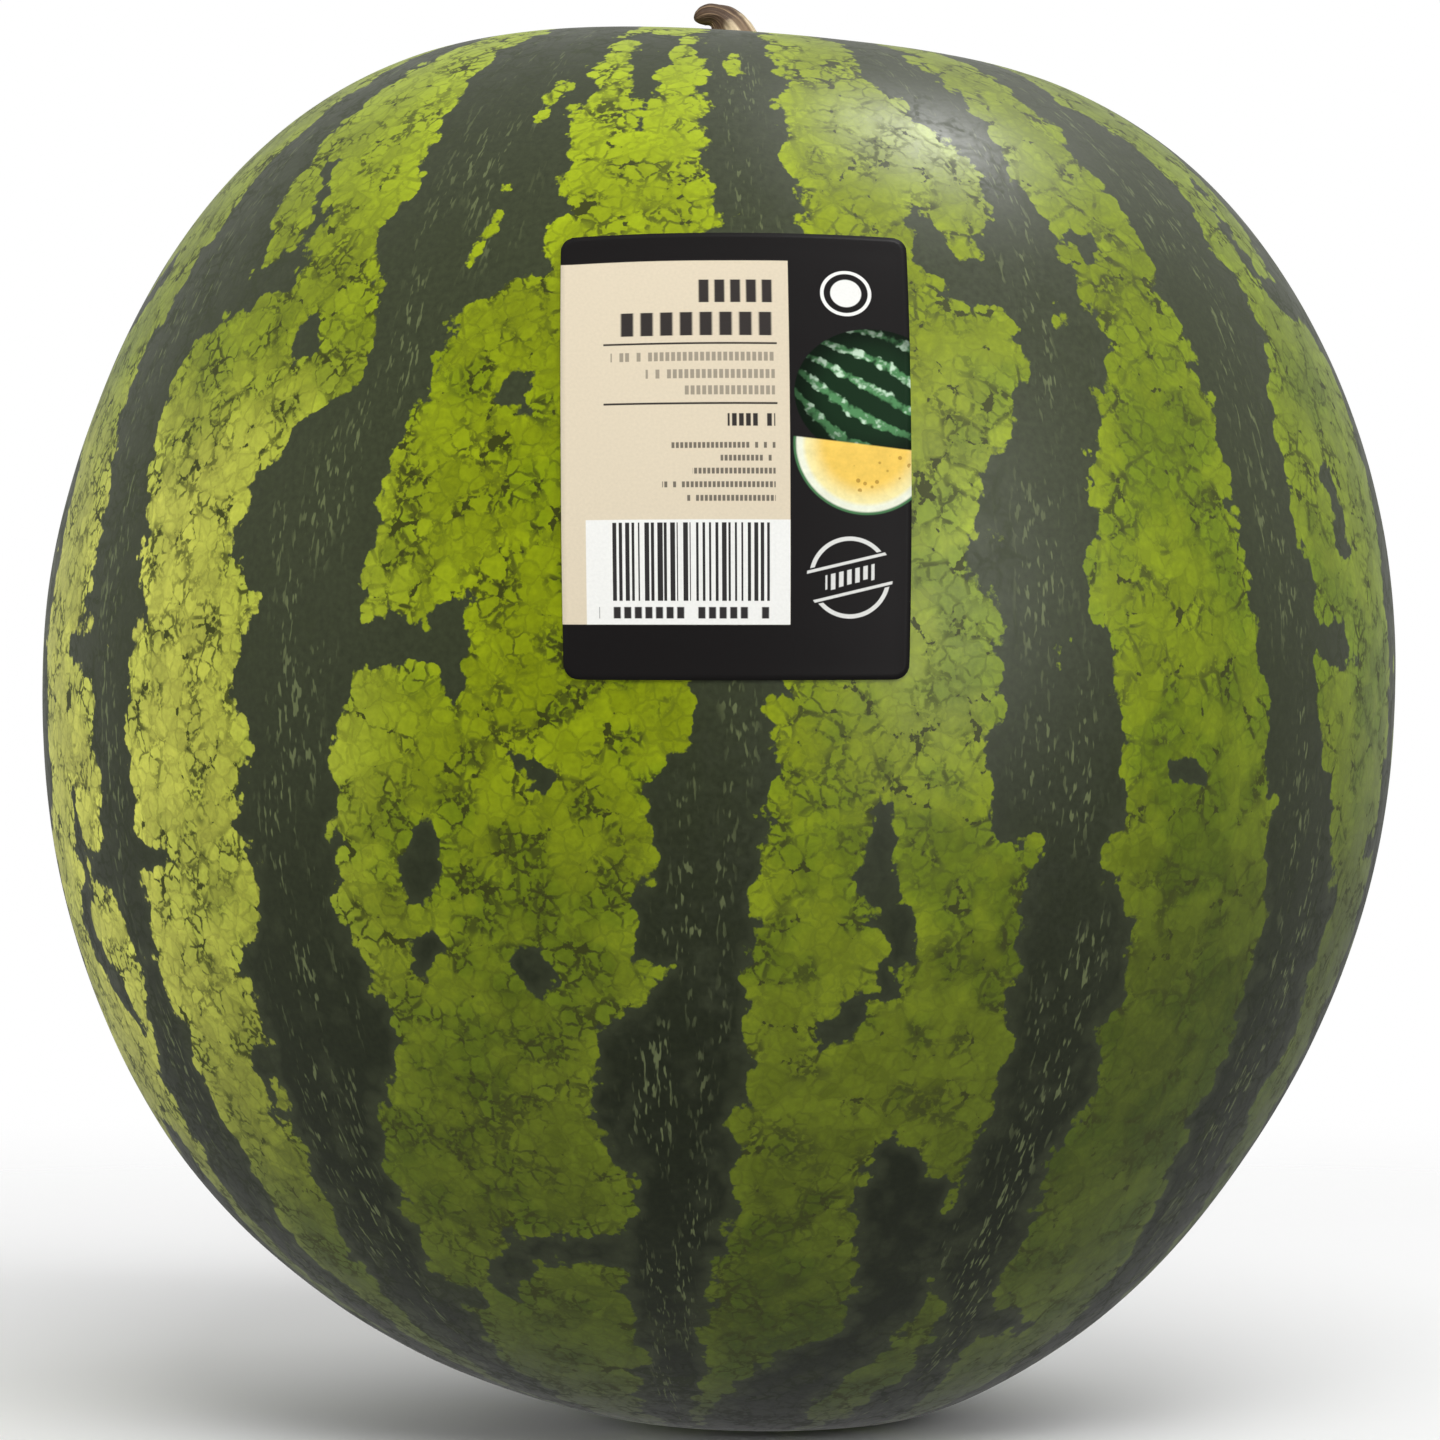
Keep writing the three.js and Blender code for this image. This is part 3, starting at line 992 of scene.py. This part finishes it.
class WATERMELON_OT_stem(bpy.types.Operator):
    """Set the dried stub of the stem in its hollow"""

    bl_idname = "watermelon.stem"
    bl_label = "Stem"

    def execute(self, context):
        look = context.scene.melon_stem
        seat = np.array((HOLLOW_OFFSET, 0, stem_low.z))
        handles = np.array(STEM_HANDLES)
        shares, radii = np.array(STEM_RADII).T
        facts = {}

        def place(start):
            angle = np.arctan2(start[:, 1], start[:, 0])
            t = 1 - np.arctan2(np.hypot(start[:, 0], start[:, 1]), start[:, 2]) / math.pi
            # The ball's first rings close the foot, and its last ones the tip.
            foot, tip = 0.10, 0.90
            along = np.clip((t - foot) / (tip - foot), 0, 1)
            radius = np.interp(along, shares, radii) * MM
            radius *= np.sqrt(np.clip(t / foot, 0, 1))
            radius *= np.sqrt(np.clip((1 - t) / (1 - tip), 0, 1))
            twist = angle + STEM_TWIST * along
            ridge = 0.5 + 0.5 * np.cos(STEM_RIDGES * twist)
            fibres = 0.5 + 0.5 * np.cos(STEM_FIBRES * twist + 2 * np.sin(3 * angle))
            depth = look.ridge_depth * (1 - 0.6 * along)
            radius *= 1 + depth * (2 * ridge ** 1.5 - 1) + 0.025 * (fibres - 0.5)
            rest = 1 - along
            centre = (
                3 * np.outer(rest ** 2 * along, handles[1])
                + 3 * np.outer(rest * along ** 2, handles[2])
                + np.outer(along ** 3, handles[3])
            )
            tangent = (
                3 * np.outer(rest ** 2, handles[1] - handles[0])
                + 6 * np.outer(rest * along, handles[2] - handles[1])
                + 3 * np.outer(along ** 2, handles[3] - handles[2])
            )
            tangent /= np.linalg.norm(tangent, axis=1, keepdims=True)
            outward = np.stack((tangent[:, 2], 0 * along, -tangent[:, 0]), -1)
            sideways = np.array((0, 1.0, 0))
            points = centre + outward * (radius * np.cos(angle))[:, None]
            points += sideways * (radius * np.sin(angle))[:, None]
            dome = STEM_DOME * np.clip((t - tip) / (1 - tip), 0, 1)
            points += tangent * dome[:, None]
            lumps = STEM_LUMP * np.array([noise.noise(Vector(point) * 420) for point in points])
            points += outward * (lumps * np.cos(angle))[:, None]
            points += sideways * (lumps * np.sin(angle))[:, None]
            facts.update(along=along, ridge=ridge, angle=angle)
            return points + seat

        shape = new_ball(look.segments, look.rings)
        stem, _ = new_piece("stem_stub", shape, place, stem_material(look))
        angle = facts["angle"]
        add_values(stem.data, "rise", facts["along"])
        add_values(stem.data, "ridge", facts["ridge"])
        fibre = np.stack((
            FIBRE_RADIUS * np.cos(angle),
            FIBRE_RADIUS * np.sin(angle),
            STEM_RISE * facts["along"],
        ), -1)
        add_values(stem.data, "fibre", fibre)
        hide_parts("dried_stem")
        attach(stem, "root")
        return {"FINISHED"}


class WATERMELON_OT_label(bpy.types.Operator):
    """Stick the printed label on the front"""

    bl_idname = "watermelon.label"
    bl_label = "Label"

    def execute(self, context):
        look = context.scene.melon_label
        waviness = context.scene.melon_rind.undulation
        shape = bmesh.new()
        columns, rows = round(LABEL_WIDTH / MM), round(LABEL_HEIGHT / MM)
        bmesh.ops.create_grid(shape, x_segments=columns, y_segments=rows, size=0.5)
        bmesh.ops.scale(shape, vec=(LABEL_WIDTH, LABEL_HEIGHT, 1), verts=shape.verts)
        raised = bmesh.ops.extrude_face_region(
            shape, geom=list(shape.faces), use_keep_orig=True
        )
        corners = [part for part in raised["geom"] if isinstance(part, bmesh.types.BMVert)]
        bmesh.ops.translate(shape, vec=(0, 0, 1), verts=corners)
        bmesh.ops.recalc_face_normals(shape, faces=shape.faces)

        def place(start):
            across, up, front = start.T.copy()
            beyond_side = np.abs(across) - (LABEL_WIDTH / 2 - LABEL_CORNER)
            beyond_top = np.abs(up) - (LABEL_HEIGHT / 2 - LABEL_CORNER)
            cornered = (beyond_side > 0) & (beyond_top > 0)
            reach = np.hypot(beyond_side, beyond_top)
            pull = 1 - np.maximum(beyond_side, beyond_top) / np.maximum(reach, 1e-9)
            across -= np.where(cornered, np.sign(across) * beyond_side * pull, 0)
            up -= np.where(cornered, np.sign(up) * beyond_top * pull, 0)
            start[:, 0] = across
            start[:, 1] = up
            up = up + LABEL_SIDE_RISE * (across / (LABEL_WIDTH / 2)) ** 2
            middle = np.array((0, -math.cos(LABEL_ELEVATION), math.sin(LABEL_ELEVATION)))
            top = np.array((0, math.sin(LABEL_ELEVATION), math.cos(LABEL_ELEVATION)))
            centre = skin_points(middle[None])[0] - (0, 0, WIDEST_LEVEL)
            distance = np.hypot(across, up)
            angle = distance / np.linalg.norm(centre)
            share = np.sin(angle) / np.maximum(distance, 1e-9)
            directions = np.outer(np.cos(angle), middle) + np.outer(share * up, top)
            directions[:, 0] += share * across
            c, s = math.cos(LABEL_TURN), math.sin(LABEL_TURN)
            directions = directions @ np.array(((c, s, 0), (-s, c, 0), (0, 0, 1)))
            plain = skin_points(directions)
            edge = np.maximum(np.abs(across) / (LABEL_WIDTH / 2), np.abs(up) / (LABEL_HEIGHT / 2))
            curl = LABEL_CURL * smooth_share(edge, CURL_START, 1.0)
            lift = look.lift + front * look.thickness + curl
            return skin_points(directions, waves(plain, waviness) + lift)

        label, sheet = new_piece("label_sheet", shape, place, label_material(look))
        half = np.array((LABEL_WIDTH / 2, LABEL_HEIGHT / 2))
        flat = np.column_stack(((sheet[:, :2] + half) / MM, sheet[:, 2]))
        add_values(label.data, "sheet", flat)
        corner_vertex, corner_face = corners_of(label.data)
        front = sheet[corner_vertex, 2]
        face_front = np.bincount(corner_face, front) / np.bincount(corner_face)
        on_back = face_front[corner_face] < 0.01
        # The front fills the map, inside a rim for the edges, and the back is a thin strip.
        front_spread, front_middle, front_height = 0.97, 0.47, 0.93
        back_middle, back_height = 0.975, 0.045
        spread = np.where(front > 0.5, front_spread, 1.0)
        share = sheet[corner_vertex, :2] / (2 * half)
        u = 0.5 + spread * share[:, 0]
        front_v = front_middle + front_height * spread * share[:, 1]
        v = np.where(on_back, back_middle + back_height * share[:, 1], front_v)
        add_bake_map(label.data, np.stack((u, v), -1))
        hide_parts("front_label")
        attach(label, "root")
        return {"FINISHED"}


class WATERMELON_OT_studio(bpy.types.Operator):
    """Set up the floor, the soft lights and the camera"""

    bl_idname = "watermelon.studio"
    bl_label = "Studio"

    def execute(self, context):
        look = context.scene.melon_studio
        scene = context.scene
        shape = bmesh.new()
        bmesh.ops.create_circle(
            shape, cap_ends=True, segments=96, radius=1.05 * look.floor_radius
        )
        floor, _ = new_piece("studio_floor", shape, lambda start: start, floor_material(look))
        floor.visible_glossy = False

        middle = Vector((0, 0, WIDEST_LEVEL))
        # Soft light on the fruit, then what only its gloss mirrors: a window above, a lit
        # wall and a white card.
        lights = (
            ("key_softbox", (0.15, -1.1, 1.25), (0.9, 0.7), look.key_power, False),
            ("strip_softbox", (1.05, -0.75, 0.85), (0.4, 1.3), look.strip_power, False),
            ("fill_softbox", (-1.5, -0.7, 0.25), (0.9, 0.9), look.fill_power, False),
            ("window_sheen", (0.61, 0.30, 1.67), (0.38, 0.42), look.window_power, True),
            ("wall_sheen", (0.80, -1.05, 0.60), (0.6, 1.0), look.wall_power, True),
            ("card_sheen", (0.74, -1.19, 0.14), (0.34, 0.44), look.card_power, True),
        )
        for name, spot, size, power, mirrored in lights:
            lamp = bpy.data.lights.new(name, "AREA")
            lamp.shape = "RECTANGLE"
            lamp.size, lamp.size_y = size
            lamp.energy = power
            light = bpy.data.objects.new(name, lamp)
            light.visible_diffuse = not mirrored
            light.visible_glossy = mirrored
            light.location = spot
            light.rotation_euler = (middle - Vector(spot)).to_track_quat("-Z", "Y").to_euler()
            scene.collection.objects.link(light)

        world = bpy.data.worlds.new("studio_room")
        paint = Paint(world)
        ray = paint.node("ShaderNodeTexCoord", output="Generated")
        _, behind, above = paint.axes(ray)
        glow = look.front_light + behind.rise(-0.95, 0.25) * (look.room_light - look.front_light)
        glow = glow * (0.55 + above.rise(-0.4, 0.7) * 0.45)
        seen = paint.node("ShaderNodeLightPath").other("Is Camera Ray")
        light = paint.node("ShaderNodeBackground", inputs={
            "Color": (1, 1, 1), "Strength": glow + seen * (1 - glow)
        })
        paint.node("ShaderNodeOutputWorld", inputs={"Surface": light})
        scene.world = world
        scene.view_settings.view_transform = "Standard"

        lens = bpy.data.cameras.new("portrait_camera")
        lens.lens = look.focal_length
        lens.sensor_width = 36
        # The fruit stands a little above the middle of the frame.
        lens.shift_y = -0.0295
        lens.clip_end = 50
        camera = bpy.data.objects.new("portrait_camera", lens)
        camera.location = (0, -look.camera_distance, WIDEST_LEVEL)
        camera.rotation_euler = (math.pi / 2, 0, 0)
        scene.collection.objects.link(camera)
        scene.camera = camera
        return {"FINISHED"}


class WATERMELON_PT_panel(bpy.types.Panel):
    """Shows each step's button, with its settings."""

    bl_label = "Watermelon"
    bl_idname = "WATERMELON_PT_panel"
    bl_space_type = "VIEW_3D"
    bl_region_type = "UI"
    bl_category = "Watermelon"

    def draw(self, context):
        for operator, group in STEPS:
            box = self.layout.box()
            box.operator(operator.bl_idname)
            settings = getattr(context.scene, group)
            for name in settings.bl_rna.properties.keys():
                if name not in ("rna_type", "name"):
                    box.prop(settings, name)


GROUPS = {
    "melon_rind": RindSettings,
    "melon_stem": StemSettings,
    "melon_label": LabelSettings,
    "melon_studio": StudioSettings,
}
STEPS = (
    (WATERMELON_OT_studio, "melon_studio"),
    (WATERMELON_OT_rind, "melon_rind"),
    (WATERMELON_OT_stem, "melon_stem"),
    (WATERMELON_OT_label, "melon_label"),
)


def register():
    for group in GROUPS.values():
        bpy.utils.register_class(group)
    for operator, _ in STEPS:
        bpy.utils.register_class(operator)
    bpy.utils.register_class(WATERMELON_PT_panel)
    for name, group in GROUPS.items():
        setattr(bpy.types.Scene, name, bpy.props.PointerProperty(type=group))


def unregister():
    for name in GROUPS:
        delattr(bpy.types.Scene, name)
    bpy.utils.unregister_class(WATERMELON_PT_panel)
    for operator, _ in reversed(STEPS):
        bpy.utils.unregister_class(operator)
    for group in reversed(GROUPS.values()):
        bpy.utils.unregister_class(group)


def main():
    register()
    bpy.ops.watermelon.studio()
    bpy.ops.watermelon.rind()
    bpy.ops.watermelon.stem()
    bpy.ops.watermelon.label()


if __name__ == "__main__":
    main()
